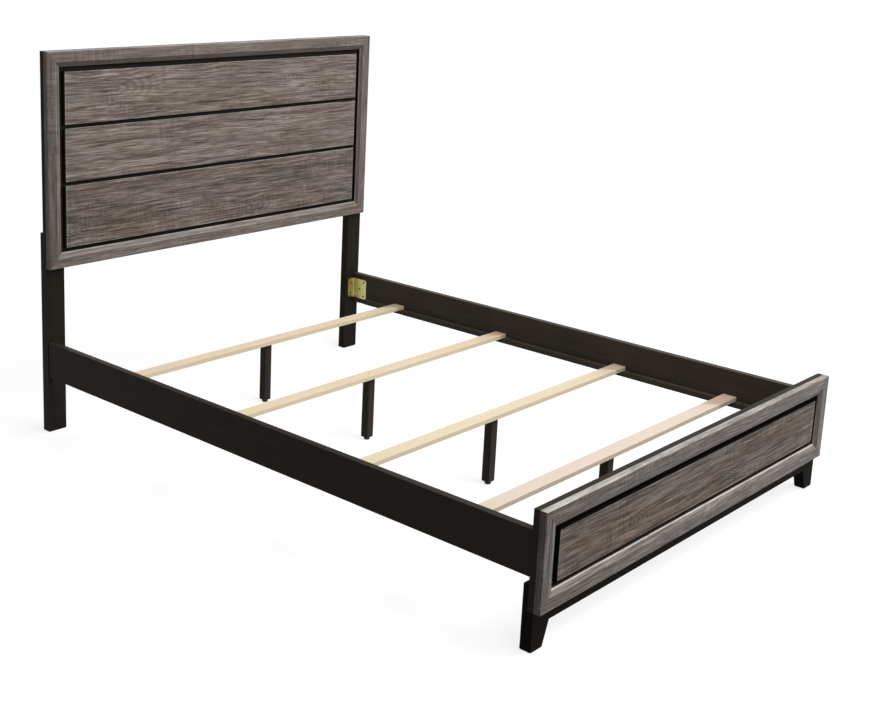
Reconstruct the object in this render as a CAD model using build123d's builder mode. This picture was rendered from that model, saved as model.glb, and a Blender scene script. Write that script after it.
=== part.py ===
from build123d import *
import math
import os

# Wooden bed frame: panelled headboard and footboard, two side rails, four cross slats
# on ledgers, and a centre leg with a levelling glide under every slat.
# Millimetres. X runs across the bed, +Y towards the head, +Z up, floor at Z = 0,
# origin at the middle of the bed's footprint.

os.makedirs("parts", exist_ok=True)

# Mattress and the room it has inside the rails
mattress_width = 1524.0
mattress_length = 2032.0
side_room = 11.0
end_room = 31.0

# Side rails
rail_thickness = 25.0
rail_height = 128.0
rail_bottom = 204.0
rail_inset = 2.0
rail_ease = 2.0

# Panel build-up shared by both boards, front to back
moulding_thickness = 20.0
moulding_width = 53.5
bevel_width = 16.0
bevel_depth = 6.0
arris_radius = 2.0
plank_thickness = 14.0
plank_ease = 1.5
groove = 13.5
side_groove = 17.5
back_thickness = 19.0

# Headboard
plank_height = 184.5
bottom_plank_height = 217.5
headboard_lift = 596.5
post_width = 73.0
post_depth = 35.0
post_lap = 124.0
pilot_height = 131.0
pilot_radius = 3.0
pilot_depth = 14.0
pilot_inset = 44.0

# Footboard
foot_plank_height = 145.0
foot_clearance = 72.0
bottom_rail_height = 40.0
leg_toe_width = 47.0
leg_below_rail = 19.0
timber_ease = 1.5
toe_ease = 3.0

# Ledgers and slats
ledger_width = 20.0
ledger_height = 19.0
ledger_lift = 7.0
ledger_bracket_room = 8.0
slat_width = 50.0
slat_thickness = 15.0
slat_ease = 1.0
slat_end_room = 0.8
slat_head_setback = 267.0
slat_second_pitch = 528.0
slat_third_pitch = 541.0
slat_foot_setback = 286.0

# Centre legs and levelling glides
support_side = 30.0
glide_gap = 1.5
glide_radius = 11.0
glide_thickness = 8.0
glide_shoulder = 3.0
stem_radius = 4.0
stem_engaged = 25.0
stem_fit = 0.15
stem_headroom = 8.0
insert_radius = 7.0
insert_sides = 6
thread_sides = 16
insert_length = 15.0

# Corner brackets
bracket_height = 84.0
bracket_post_flange = 36.0
bracket_rail_flange = 76.0
bracket_thickness = 3.0
bracket_bend = 1.5
bracket_corner = 6.0
bracket_far_hole = 62.0
bracket_near_hole = 39.0
bracket_far_rise = 31.0
bracket_post_hole = 19.0
bracket_post_rise = 22.0

# Wood screws, eight-sided at this size; every hole is one fit larger than its screw
hole_fit = 0.1
screw_head_radius = 4.2
screw_shank_radius = 2.0
screw_sides = 8
screw_mouth = 1.0
screw_rim = 0.3
panel_screw_length = 32.0
bracket_screw_length = 17.0
slat_screw_length = 55.0
stop_head_radius = 4.0
stop_head_height = 2.5
stop_stand = 8.0
stop_depth = 13.0
stop_station = 54.0

# Widths and lengths that follow from the sizes above
inner_width = mattress_width + 2 * side_room
half_inner = inner_width / 2
half_width = half_inner + rail_thickness + rail_inset
rail_length = mattress_length + end_room
rail_middle_x = half_inner + rail_thickness / 2
bed_length = moulding_thickness + back_thickness + rail_length + post_depth

# Planes along the bed, from the foot to the head
foot_front = -bed_length / 2
foot_panel = foot_front + moulding_thickness
foot_face = foot_panel + back_thickness
leg_back = foot_panel + post_depth
head_face = foot_face + rail_length
head_front = head_face - moulding_thickness
lap_plane = head_face + back_thickness
head_back = head_face + post_depth
rail_middle_y = (foot_face + head_face) / 2
board_step = head_face - foot_panel

# Heights
board_margin = moulding_width + groove
upper_planks = 2 * (plank_height + groove)
headboard_top = headboard_lift + 2 * board_margin + upper_planks + bottom_plank_height
footboard_lift = foot_clearance + bottom_rail_height
footboard_top = footboard_lift + 2 * board_margin + foot_plank_height
post_top = headboard_lift + post_lap
leg_top = rail_bottom - leg_below_rail
rail_middle_z = rail_bottom + rail_height / 2
ledger_bottom = rail_bottom + ledger_lift
ledger_top = ledger_bottom + ledger_height
slat_top = ledger_top + slat_thickness
support_bottom = glide_thickness + glide_gap
support_length = ledger_top - support_bottom
plank_width = 2 * (half_width - moulding_width - side_groove)
slat_length = inner_width - 2 * slat_end_room
post_inner = half_width - post_width
slat_1_y = head_face - slat_head_setback
slat_2_y = slat_1_y - slat_second_pitch
slat_3_y = slat_2_y - slat_third_pitch
slat_4_y = foot_face + slat_foot_setback
slat_places = [slat_1_y, slat_2_y, slat_3_y, slat_4_y]
head_slope = (screw_head_radius - screw_shank_radius) * math.cos(math.pi / screw_sides)
head_depth = head_slope + screw_rim

# Pattern screws: head face at the origin, shank pointing down. Grown by a fit and given
# a mouth above the head, the same form is the hole that the screw sits in.
def flat_head_screw(length, fit=0.0, mouth=0.0):
    with BuildPart() as screw:
        with BuildSketch(Plane.XY):
            RegularPolygon(screw_head_radius + fit, screw_sides)
        extrude(amount=-head_depth)
        chamfer(screw.faces().sort_by(Axis.Z)[0].edges(), length=head_slope)
        with BuildSketch(Plane.XY.offset(-head_depth)):
            RegularPolygon(screw_shank_radius + fit, screw_sides)
        extrude(amount=head_depth - length - fit)
        if mouth:
            with BuildSketch(Plane.XY):
                RegularPolygon(screw_head_radius + fit, screw_sides)
            extrude(amount=mouth)
    return screw.part


def round_head_screw(stand, depth, fit=0.0):
    with BuildPart() as screw:
        with BuildSketch(Plane.XY):
            RegularPolygon(stop_head_radius, screw_sides)
        extrude(amount=-stop_head_height)
        chamfer(screw.faces().sort_by(Axis.Z)[-1].edges(), length=stop_head_height / 2)
        with BuildSketch(Plane.XY.offset(-stop_head_height)):
            RegularPolygon(screw_shank_radius + fit, screw_sides)
        extrude(amount=stop_head_height - stand - depth - fit)
    return screw.part


panel_screw = flat_head_screw(panel_screw_length)
panel_hole = flat_head_screw(panel_screw_length, hole_fit, screw_mouth)
bracket_screw = flat_head_screw(bracket_screw_length)
bracket_hole = flat_head_screw(bracket_screw_length, hole_fit, screw_mouth)
slat_screw = flat_head_screw(slat_screw_length)
slat_hole = flat_head_screw(slat_screw_length, hole_fit, screw_mouth)
stop_screw = round_head_screw(stop_stand, stop_depth)
stop_hole = round_head_screw(stop_stand, stop_depth, hole_fit)

# Screw seats: a plane at every screw's head face, its normal pointing out of the wood
lap_columns = (post_inner + post_width * 0.25, post_inner + post_width * 0.75)
post_rows = (headboard_lift + post_lap * 0.25, headboard_lift + post_lap * 0.75)
post_seats = [
    Plane(origin=(side * column, head_back, row), z_dir=(0, 1, 0))
    for side in (-1, 1)
    for column in lap_columns
    for row in post_rows
]
leg_rows = (foot_clearance + bottom_rail_height / 2, (footboard_lift + leg_top) / 2)
leg_seats = [
    Plane(origin=(side * column, leg_back, row), z_dir=(0, 1, 0))
    for side in (-1, 1)
    for column in lap_columns
    for row in leg_rows
]
ledger_head_end = head_face - bracket_rail_flange - ledger_bracket_room
ledger_foot_end = foot_face + bracket_rail_flange + ledger_bracket_room
ledger_length = ledger_head_end - ledger_foot_end
ledger_middle_z = ledger_bottom + ledger_height / 2
ledger_seats = [
    Plane(
        origin=(
            side * (half_inner - ledger_width),
            ledger_foot_end + ledger_length * share,
            ledger_middle_z,
        ),
        z_dir=(-side, 0, 0),
    )
    for side in (-1, 1)
    for share in (0.03, 0.27, 0.51, 0.74, 0.97)
]
slat_seats = [Plane(origin=(0, place, slat_top)) for place in slat_places]
stop_seats = [
    Plane(
        origin=(
            side * (half_inner - ledger_width / 2),
            place - stop_station,
            ledger_top + stop_stand,
        )
    )
    for side in (-1, 1)
    for place in slat_places
]
bracket_rail_marks = (
    (bracket_far_hole, bracket_far_rise),
    (bracket_far_hole, -bracket_far_rise),
    (bracket_near_hole, 0),
)
bracket_rail_seats = [
    Plane(
        origin=(
            side * (half_inner - bracket_thickness),
            rail_middle_y + end * (rail_length / 2 - along),
            rail_middle_z + rise,
        ),
        z_dir=(-side, 0, 0),
    )
    for side in (-1, 1)
    for end in (-1, 1)
    for along, rise in bracket_rail_marks
]
bracket_board_seats = [
    Plane(
        origin=(
            side * (half_inner - bracket_post_hole),
            rail_middle_y + end * (rail_length / 2 - bracket_thickness),
            rail_middle_z + rise,
        ),
        z_dir=(0, -end, 0),
    )
    for side in (-1, 1)
    for end in (-1, 1)
    for rise in (bracket_post_rise, -bracket_post_rise)
]

# Headboard backing board, black, behind planks and mouldings
with BuildPart() as headboard_back_panel:
    with BuildSketch(Plane.XZ.offset(-lap_plane)):
        with Locations((0, (headboard_lift + headboard_top) / 2)):
            Rectangle(2 * half_width, headboard_top - headboard_lift)
    extrude(amount=back_thickness)
    with Locations(*post_seats):
        add(panel_hole, mode=Mode.SUBTRACT)

# Three headboard planks on the backing, parted by open grooves
plank_bottom_z = headboard_lift + board_margin
plank_middle_z = plank_bottom_z + bottom_plank_height + groove
plank_top_z = plank_middle_z + plank_height + groove

with BuildPart() as headboard_plank_bottom:
    with BuildSketch(Plane.XZ.offset(-head_face)):
        with Locations((0, plank_bottom_z + bottom_plank_height / 2)):
            Rectangle(plank_width, bottom_plank_height)
    extrude(amount=plank_thickness)
    chamfer(headboard_plank_bottom.faces().sort_by(Axis.Y)[0].edges(), length=plank_ease)

with BuildPart() as headboard_plank_middle:
    with BuildSketch(Plane.XZ.offset(-head_face)):
        with Locations((0, plank_middle_z + plank_height / 2)):
            Rectangle(plank_width, plank_height)
    extrude(amount=plank_thickness)
    chamfer(headboard_plank_middle.faces().sort_by(Axis.Y)[0].edges(), length=plank_ease)

with BuildPart() as headboard_plank_top:
    add(headboard_plank_middle.part.moved(Location((0, 0, plank_top_z - plank_middle_z))))

# Headboard moulding frame: flat face, inner bevel, eased outer arris, mitred corners
with BuildPart() as headboard_frame_top:
    with BuildSketch(Plane.YZ):
        with BuildLine():
            Polyline(
                (head_face, headboard_top),
                (head_front, headboard_top),
                (head_front, headboard_top - moulding_width + bevel_width),
                (head_front + bevel_depth, headboard_top - moulding_width),
                (head_face, headboard_top - moulding_width),
                close=True,
            )
        make_face()
        outer_arris = vertices().group_by(Axis.Y)[-1].sort_by(Axis.X)[0]
        fillet(outer_arris, radius=arris_radius)
    extrude(amount=half_width, both=True)
    split(bisect_by=Plane(origin=(-half_width, 0, headboard_top), z_dir=(1, 0, 1)))
    split(bisect_by=Plane(origin=(half_width, 0, headboard_top), z_dir=(-1, 0, 1)))

headboard_middle_z = (headboard_lift + headboard_top) / 2
with BuildPart() as headboard_frame_bottom:
    mirror(headboard_frame_top.part, about=Plane.XY.offset(headboard_middle_z))

with BuildPart() as headboard_frame_left:
    with BuildSketch(Plane.XY.offset(headboard_lift)):
        with BuildLine():
            Polyline(
                (-half_width, head_face),
                (-half_width, head_front),
                (-half_width + moulding_width - bevel_width, head_front),
                (-half_width + moulding_width, head_front + bevel_depth),
                (-half_width + moulding_width, head_face),
                close=True,
            )
        make_face()
        outer_arris = vertices().group_by(Axis.X)[0].sort_by(Axis.Y)[0]
        fillet(outer_arris, radius=arris_radius)
    extrude(amount=headboard_top - headboard_lift)
    split(bisect_by=Plane(origin=(-half_width, 0, headboard_top), z_dir=(-1, 0, -1)))
    split(bisect_by=Plane(origin=(-half_width, 0, headboard_lift), z_dir=(-1, 0, 1)))

with BuildPart() as headboard_frame_right:
    mirror(headboard_frame_left.part, about=Plane.YZ)

# Head posts: straight, half-lapped behind the backing board, standing on the floor
with BuildPart() as headboard_right_post:
    with BuildSketch(Plane.YZ.offset(post_inner)):
        with BuildLine():
            Polyline(
                (head_face, 0),
                (head_back, 0),
                (head_back, post_top),
                (lap_plane, post_top),
                (lap_plane, headboard_lift),
                (head_face, headboard_lift),
                close=True,
            )
        make_face()
    extrude(amount=post_width)
    toe = headboard_right_post.faces().sort_by(Axis.Z)[0]
    chamfer(toe.edges(), length=toe_ease)
    back_edges = headboard_right_post.faces().sort_by(Axis.Y)[-1].edges().filter_by(Axis.Z)
    chamfer(back_edges, length=timber_ease)
    with Locations(*post_seats):
        add(panel_hole, mode=Mode.SUBTRACT)
    with Locations(*bracket_board_seats):
        add(bracket_hole, mode=Mode.SUBTRACT)
    with Locations(
        Plane(origin=(half_width - pilot_inset, head_face, pilot_height), z_dir=(0, -1, 0))
    ):
        Hole(radius=pilot_radius, depth=pilot_depth)

with BuildPart() as headboard_left_post:
    mirror(headboard_right_post.part, about=Plane.YZ)

# Screws from the back of each post lap into the headboard backing
with BuildPart() as headboard_post_screws:
    with Locations(*post_seats):
        add(panel_screw)

# Footboard backing board and the bottom rail under it
with BuildPart() as footboard_back_panel:
    with BuildSketch(Plane.XZ.offset(-foot_face)):
        with Locations((0, (footboard_lift + footboard_top) / 2)):
            Rectangle(2 * half_width, footboard_top - footboard_lift)
    extrude(amount=back_thickness)
    with Locations(*leg_seats):
        add(panel_hole, mode=Mode.SUBTRACT)
    with Locations(*bracket_board_seats):
        add(bracket_hole, mode=Mode.SUBTRACT)

with BuildPart() as footboard_bottom_rail:
    with BuildSketch(Plane.XZ.offset(-foot_face)):
        with Locations((0, foot_clearance + bottom_rail_height / 2)):
            Rectangle(2 * half_width, bottom_rail_height)
    extrude(amount=back_thickness)
    with Locations(*leg_seats):
        add(panel_hole, mode=Mode.SUBTRACT)

# Footboard plank and moulding frame, the same stock as on the headboard
with BuildPart() as footboard_plank:
    with BuildSketch(Plane.XZ.offset(-foot_panel)):
        with Locations((0, footboard_lift + board_margin + foot_plank_height / 2)):
            Rectangle(plank_width, foot_plank_height)
    extrude(amount=plank_thickness)
    chamfer(footboard_plank.faces().sort_by(Axis.Y)[0].edges(), length=plank_ease)

with BuildPart() as footboard_frame_top:
    add(
        headboard_frame_top.part.moved(
            Location((0, -board_step, footboard_top - headboard_top))
        )
    )

with BuildPart() as footboard_frame_bottom:
    add(
        headboard_frame_bottom.part.moved(
            Location((0, -board_step, footboard_lift - headboard_lift))
        )
    )

with BuildPart() as footboard_frame_left:
    with BuildSketch(Plane.XY.offset(footboard_lift)):
        with BuildLine():
            Polyline(
                (-half_width, foot_panel),
                (-half_width, foot_front),
                (-half_width + moulding_width - bevel_width, foot_front),
                (-half_width + moulding_width, foot_front + bevel_depth),
                (-half_width + moulding_width, foot_panel),
                close=True,
            )
        make_face()
        outer_arris = vertices().group_by(Axis.X)[0].sort_by(Axis.Y)[0]
        fillet(outer_arris, radius=arris_radius)
    extrude(amount=footboard_top - footboard_lift)
    split(bisect_by=Plane(origin=(-half_width, 0, footboard_top), z_dir=(-1, 0, -1)))
    split(bisect_by=Plane(origin=(-half_width, 0, footboard_lift), z_dir=(-1, 0, 1)))

with BuildPart() as footboard_frame_right:
    mirror(footboard_frame_left.part, about=Plane.YZ)

# Foot legs: tapered on the inner side below the bottom rail, half-lapped behind it
with BuildPart() as footboard_right_leg:
    with BuildSketch(Plane.XZ.offset(-leg_back)):
        with BuildLine():
            Polyline(
                (half_width, 0),
                (half_width, leg_top),
                (post_inner, leg_top),
                (post_inner, foot_clearance),
                (half_width - leg_toe_width, 0),
                close=True,
            )
        make_face()
    extrude(amount=post_depth)
    toe = footboard_right_leg.faces().sort_by(Axis.Z)[0]
    chamfer(toe.edges(), length=toe_ease)
    with BuildSketch(Plane.XZ.offset(-foot_face)):
        with Locations((half_width - post_width / 2, (foot_clearance + leg_top) / 2)):
            Rectangle(post_width, leg_top - foot_clearance)
    extrude(amount=back_thickness, mode=Mode.SUBTRACT)
    with Locations(*leg_seats):
        add(panel_hole, mode=Mode.SUBTRACT)

with BuildPart() as footboard_left_leg:
    mirror(footboard_right_leg.part, about=Plane.YZ)

# Screws from the back of each leg lap into the footboard backing and bottom rail
with BuildPart() as footboard_leg_screws:
    with Locations(*leg_seats):
        add(panel_screw)

# Side rails, butted between the head posts and the footboard backing
with BuildPart() as right_side_rail:
    with BuildSketch(Plane.XZ.offset(-head_face)):
        with Locations((rail_middle_x, rail_middle_z)):
            Rectangle(rail_thickness, rail_height)
    extrude(amount=rail_length)
    chamfer(right_side_rail.edges().filter_by(Axis.Y), length=rail_ease)
    with Locations(*bracket_rail_seats):
        add(bracket_hole, mode=Mode.SUBTRACT)
    with Locations(*ledger_seats):
        add(panel_hole, mode=Mode.SUBTRACT)

with BuildPart() as left_side_rail:
    mirror(right_side_rail.part, about=Plane.YZ)

# Ledger strips inside the rails that carry the slat ends
with BuildPart() as right_slat_ledger:
    with BuildSketch(Plane.XZ.offset(-ledger_head_end)):
        with Locations((half_inner - ledger_width / 2, ledger_middle_z)):
            Rectangle(ledger_width, ledger_height)
    extrude(amount=ledger_length)
    with Locations(*ledger_seats):
        add(panel_hole, mode=Mode.SUBTRACT)
    with Locations(*stop_seats):
        add(stop_hole, mode=Mode.SUBTRACT)

with BuildPart() as left_slat_ledger:
    mirror(right_slat_ledger.part, about=Plane.YZ)

with BuildPart() as ledger_screws:
    with Locations(*ledger_seats):
        add(panel_screw)

# Upright screws in the ledger tops that keep the slats from creeping towards the foot
with BuildPart() as slat_stop_screws:
    with Locations(*stop_seats):
        add(stop_screw)

# Cross slats, resting on the ledgers, one screw at the middle into each centre leg
with BuildPart() as slat_1:
    with BuildSketch(Plane.YZ.offset(-slat_length / 2)):
        with Locations((slat_1_y, ledger_top + slat_thickness / 2)):
            Rectangle(slat_width, slat_thickness)
    extrude(amount=slat_length)
    chamfer(slat_1.edges().filter_by(Axis.X), length=slat_ease)
    with Locations(slat_seats[0]):
        add(slat_hole, mode=Mode.SUBTRACT)

with BuildPart() as slat_2:
    add(slat_1.part.moved(Location((0, slat_2_y - slat_1_y, 0))))

with BuildPart() as slat_3:
    add(slat_1.part.moved(Location((0, slat_3_y - slat_1_y, 0))))

with BuildPart() as slat_4:
    add(slat_1.part.moved(Location((0, slat_4_y - slat_1_y, 0))))

# Square centre legs, each bored from below for the glide's threaded insert
stem_top = support_bottom + stem_engaged
with BuildPart() as support_leg_1:
    with BuildSketch(Plane.XY.offset(support_bottom)):
        with Locations((0, slat_1_y)):
            Rectangle(support_side, support_side)
    extrude(amount=support_length)
    chamfer(support_leg_1.faces().sort_by(Axis.Z)[0].edges(), length=timber_ease)
    with Locations(slat_seats[0]):
        add(slat_hole, mode=Mode.SUBTRACT)
    with BuildSketch(Plane.XY.offset(support_bottom)):
        with Locations((0, slat_1_y)):
            RegularPolygon(stem_radius + 2 * stem_fit, thread_sides)
    extrude(amount=stem_engaged + stem_headroom, mode=Mode.SUBTRACT)
    with BuildSketch(Plane.XY.offset(support_bottom)):
        with Locations((0, slat_1_y)):
            RegularPolygon(insert_radius + hole_fit, insert_sides)
    extrude(amount=insert_length, mode=Mode.SUBTRACT)

with BuildPart() as support_leg_2:
    add(support_leg_1.part.moved(Location((0, slat_2_y - slat_1_y, 0))))

with BuildPart() as support_leg_3:
    add(support_leg_1.part.moved(Location((0, slat_3_y - slat_1_y, 0))))

with BuildPart() as support_leg_4:
    add(support_leg_1.part.moved(Location((0, slat_4_y - slat_1_y, 0))))

with BuildPart() as support_leg_screws:
    with Locations(*slat_seats):
        add(slat_screw)

# Hexagon inserts pressed into the centre legs, and the glides that screw into them
with BuildPart() as insert_nut:
    with BuildSketch(Plane.XY.offset(support_bottom)):
        RegularPolygon(insert_radius, insert_sides)
        RegularPolygon(stem_radius + stem_fit, thread_sides, mode=Mode.SUBTRACT)
    extrude(amount=insert_length)

with BuildPart() as leveller_inserts:
    with Locations(*[(0, place, 0) for place in slat_places]):
        add(insert_nut.part)

with BuildPart() as glide:
    with BuildSketch(Plane.XY):
        RegularPolygon(glide_radius, thread_sides)
    extrude(amount=glide_thickness)
    chamfer(glide.faces().sort_by(Axis.Z)[-1].edges(), length=glide_shoulder)
    with BuildSketch(Plane.XY.offset(glide_thickness)):
        RegularPolygon(stem_radius, thread_sides)
    extrude(amount=stem_top - glide_thickness)

with BuildPart() as leveller_1:
    add(glide.part.moved(Location((0, slat_1_y, 0))))

with BuildPart() as leveller_2:
    add(glide.part.moved(Location((0, slat_2_y, 0))))

with BuildPart() as leveller_3:
    add(glide.part.moved(Location((0, slat_3_y, 0))))

with BuildPart() as leveller_4:
    add(glide.part.moved(Location((0, slat_4_y, 0))))

# Folded corner brackets between each rail and the board it butts against
bracket_reach_x = half_inner - bracket_post_flange
bracket_reach_y = head_face - bracket_rail_flange
with BuildPart() as corner_bracket_head_right:
    with BuildSketch(Plane.XY.offset(rail_middle_z - bracket_height / 2)):
        with BuildLine():
            Polyline(
                (bracket_reach_x, head_face),
                (half_inner, head_face),
                (half_inner, bracket_reach_y),
                (half_inner - bracket_thickness, bracket_reach_y),
                (half_inner - bracket_thickness, head_face - bracket_thickness),
                (bracket_reach_x, head_face - bracket_thickness),
                close=True,
            )
        make_face()
        fold = vertices().group_by(Axis.Y)[-1].sort_by(Axis.X)[-1]
        chamfer(fold, length=bracket_bend + bracket_thickness)
        inside = vertices().sort_by_distance(
            (half_inner - bracket_thickness, head_face - bracket_thickness)
        )[0]
        chamfer(inside, length=bracket_bend)
    extrude(amount=bracket_height)
    post_corners = corner_bracket_head_right.edges().filter_by(Axis.Y).group_by(Axis.X)[0]
    chamfer(post_corners, length=bracket_corner)
    rail_corners = corner_bracket_head_right.edges().filter_by(Axis.X).group_by(Axis.Y)[0]
    chamfer(rail_corners, length=bracket_corner)
    with Locations(*bracket_rail_seats, *bracket_board_seats):
        add(bracket_hole, mode=Mode.SUBTRACT)

with BuildPart() as corner_bracket_head_left:
    mirror(corner_bracket_head_right.part, about=Plane.YZ)

with BuildPart() as corner_bracket_foot_right:
    mirror(corner_bracket_head_right.part, about=Plane.XZ.offset(-rail_middle_y))

with BuildPart() as corner_bracket_foot_left:
    mirror(corner_bracket_foot_right.part, about=Plane.YZ)

with BuildPart() as bracket_screws:
    with Locations(*bracket_rail_seats, *bracket_board_seats):
        add(bracket_screw)

pieces = {
    "headboard_back_panel": headboard_back_panel,
    "headboard_plank_bottom": headboard_plank_bottom,
    "headboard_plank_middle": headboard_plank_middle,
    "headboard_plank_top": headboard_plank_top,
    "headboard_frame_top": headboard_frame_top,
    "headboard_frame_bottom": headboard_frame_bottom,
    "headboard_frame_left": headboard_frame_left,
    "headboard_frame_right": headboard_frame_right,
    "headboard_left_post": headboard_left_post,
    "headboard_right_post": headboard_right_post,
    "headboard_post_screws": headboard_post_screws,
    "footboard_back_panel": footboard_back_panel,
    "footboard_bottom_rail": footboard_bottom_rail,
    "footboard_plank": footboard_plank,
    "footboard_frame_top": footboard_frame_top,
    "footboard_frame_bottom": footboard_frame_bottom,
    "footboard_frame_left": footboard_frame_left,
    "footboard_frame_right": footboard_frame_right,
    "footboard_left_leg": footboard_left_leg,
    "footboard_right_leg": footboard_right_leg,
    "footboard_leg_screws": footboard_leg_screws,
    "left_side_rail": left_side_rail,
    "right_side_rail": right_side_rail,
    "left_slat_ledger": left_slat_ledger,
    "right_slat_ledger": right_slat_ledger,
    "ledger_screws": ledger_screws,
    "slat_stop_screws": slat_stop_screws,
    "slat_1": slat_1,
    "slat_2": slat_2,
    "slat_3": slat_3,
    "slat_4": slat_4,
    "support_leg_1": support_leg_1,
    "support_leg_2": support_leg_2,
    "support_leg_3": support_leg_3,
    "support_leg_4": support_leg_4,
    "support_leg_screws": support_leg_screws,
    "leveller_inserts": leveller_inserts,
    "leveller_1": leveller_1,
    "leveller_2": leveller_2,
    "leveller_3": leveller_3,
    "leveller_4": leveller_4,
    "corner_bracket_head_left": corner_bracket_head_left,
    "corner_bracket_head_right": corner_bracket_head_right,
    "corner_bracket_foot_left": corner_bracket_foot_left,
    "corner_bracket_foot_right": corner_bracket_foot_right,
    "bracket_screws": bracket_screws,
}
for label, piece in pieces.items():
    piece.part.label = label
    export_step(piece.part, f"parts/{label}.step")
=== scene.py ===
# %% [markdown]
# # A bed frame in grey oak and black lacquer
#
# The CAD frame is loaded as it is and stays where it is. This lesson dresses it: it writes the finishes as
# small formulas on each piece's own coordinates, draws the pieces whose edges catch the light as numpy
# surfaces, and sets up a white studio with the camera at the photograph's angle.

# %% Load the frame
import math

import bpy
import numpy as np
from mathutils import Matrix, Vector


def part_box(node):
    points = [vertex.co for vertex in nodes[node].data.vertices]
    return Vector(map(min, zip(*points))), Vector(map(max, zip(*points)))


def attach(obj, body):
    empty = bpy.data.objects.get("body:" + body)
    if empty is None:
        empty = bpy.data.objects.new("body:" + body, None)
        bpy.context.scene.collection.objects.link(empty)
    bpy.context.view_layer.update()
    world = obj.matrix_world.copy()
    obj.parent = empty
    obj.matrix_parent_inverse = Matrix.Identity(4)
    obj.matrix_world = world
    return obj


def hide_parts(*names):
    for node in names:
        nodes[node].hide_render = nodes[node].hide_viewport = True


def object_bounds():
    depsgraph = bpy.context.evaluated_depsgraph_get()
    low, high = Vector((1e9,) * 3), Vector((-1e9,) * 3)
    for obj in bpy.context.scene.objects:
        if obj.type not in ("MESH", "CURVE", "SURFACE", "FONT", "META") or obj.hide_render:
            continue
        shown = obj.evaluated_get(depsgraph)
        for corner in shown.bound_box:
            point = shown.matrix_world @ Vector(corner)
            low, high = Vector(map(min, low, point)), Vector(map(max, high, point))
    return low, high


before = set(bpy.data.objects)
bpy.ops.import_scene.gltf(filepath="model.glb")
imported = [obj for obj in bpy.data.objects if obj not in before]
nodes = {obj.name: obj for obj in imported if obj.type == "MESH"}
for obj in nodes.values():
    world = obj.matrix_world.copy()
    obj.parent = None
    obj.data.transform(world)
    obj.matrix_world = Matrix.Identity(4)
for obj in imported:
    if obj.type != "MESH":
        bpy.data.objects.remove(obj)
cad_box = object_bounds()
print(len(nodes), "CAD nodes between", *([round(c, 4) for c in corner] for corner in cad_box))

# %% [markdown]
# ## Sockets that behave like numbers
#
# A shader is arithmetic on coordinates, and it reads best as arithmetic. The class below wraps one output
# socket. Its operators add Math or Vector Math nodes, and its one method adds any other node. Node groups or
# long lists of links would do the same work, but a formula in one line is easier to check.


# %% One wrapper for every shader formula
class Sock:
    """An output socket that answers to + - * / and, through node(), to every other shader node."""

    def __init__(self, out):
        self.out, self.tree = out, out.id_data

    def node(self, kind, ins=None, get=0, stops=(), **settings):
        """Adds one node: settings and a ramp's stops come first, then the values or links of its sockets."""
        made = self.tree.nodes.new("ShaderNode" + kind)
        for key, value in settings.items():
            setattr(made, key, value)
        for i, (place, colour) in enumerate(stops):
            stop = made.color_ramp.elements[i] if i < 2 else made.color_ramp.elements.new(place)
            stop.position, stop.color = place, (*colour, 1.0)
        for key, value in (ins or {}).items():
            if isinstance(value, Sock):
                self.tree.links.new(value.out, made.inputs[key])
            else:
                made.inputs[key].default_value = value
        return Sock(made.outputs[get])

    def twin(self, get):
        """Another output of the node that this one comes from."""
        return Sock(self.out.node.outputs[get])

    def calc(self, operation, *others):
        """A Math node, or a Vector Math node where any of the values is a vector."""
        values = (self,) + others
        flat = all(isinstance(v, (int, float)) or v.out.type == "VALUE" for v in values)
        wide = [v if isinstance(v, Sock) or flat else (v, v, v) for v in values]
        return self.node("Math" if flat else "VectorMath", dict(enumerate(wide)), operation=operation)

    def __add__(self, other): return self.calc("ADD", other)
    def __sub__(self, other): return self.calc("SUBTRACT", other)
    def __mul__(self, other): return self.calc("MULTIPLY", other)
    def __truediv__(self, other): return self.calc("DIVIDE", other)
    def __rsub__(self, other): return (self * -1.0) + other
    def __rtruediv__(self, other): return (self / other).calc("POWER", -1.0)
    __radd__, __rmul__ = __add__, __mul__


print("sockets answer to", [name for name in vars(Sock) if name.startswith("__r")])

# %% [markdown]
# ## Helpers for natural surfaces
#
# Wood, lacquer and plating need the same few things: stretched noise, a soft step, a walk between colours and
# a finished material. Each could be spelled out wherever it is used. A named helper keeps every finish below
# to a few lines that say what the eye sees.


# %% Noise, steps, colour walks
def noise(at, scale, stretch=(1, 1, 1), detail=3.0, rough=0.55):
    """Smooth random values from 0 to 1, stretched by a factor along each axis."""
    where = at.node("VectorMath", {0: at, 1: stretch}, operation="MULTIPLY")
    return at.node("TexNoise", {"Vector": where, "Scale": scale, "Detail": detail, "Roughness": rough})


def split(vector):
    """The three numbers of a vector."""
    x = vector.node("SeparateXYZ", {0: vector})
    return x, x.twin(1), x.twin(2)


def step(x, low, high, to=(0.0, 1.0)):
    """A soft step: to[0] below low, to[1] above high, an S curve between."""
    ends = {0: x, 1: low, 2: high, 3: to[0], 4: to[1]}
    return x.node("MapRange", ends, interpolation_type="SMOOTHSTEP")


def walk(x, *stops):
    """A walk through colours: each stop is a place from 0 to 1 and a linear colour."""
    return x.node("ValToRGB", {0: x}, stops=stops)


def mix(share, a, b, how="MIX"):
    """Colour a where share is 0 and colour b where it is 1."""
    ends = {key: c if isinstance(c, Sock) else (*c, 1.0) for key, c in ((6, a), (7, b))}
    return share.node("Mix", {0: share, **ends}, get=2, data_type="RGBA", blend_type=how)


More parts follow.
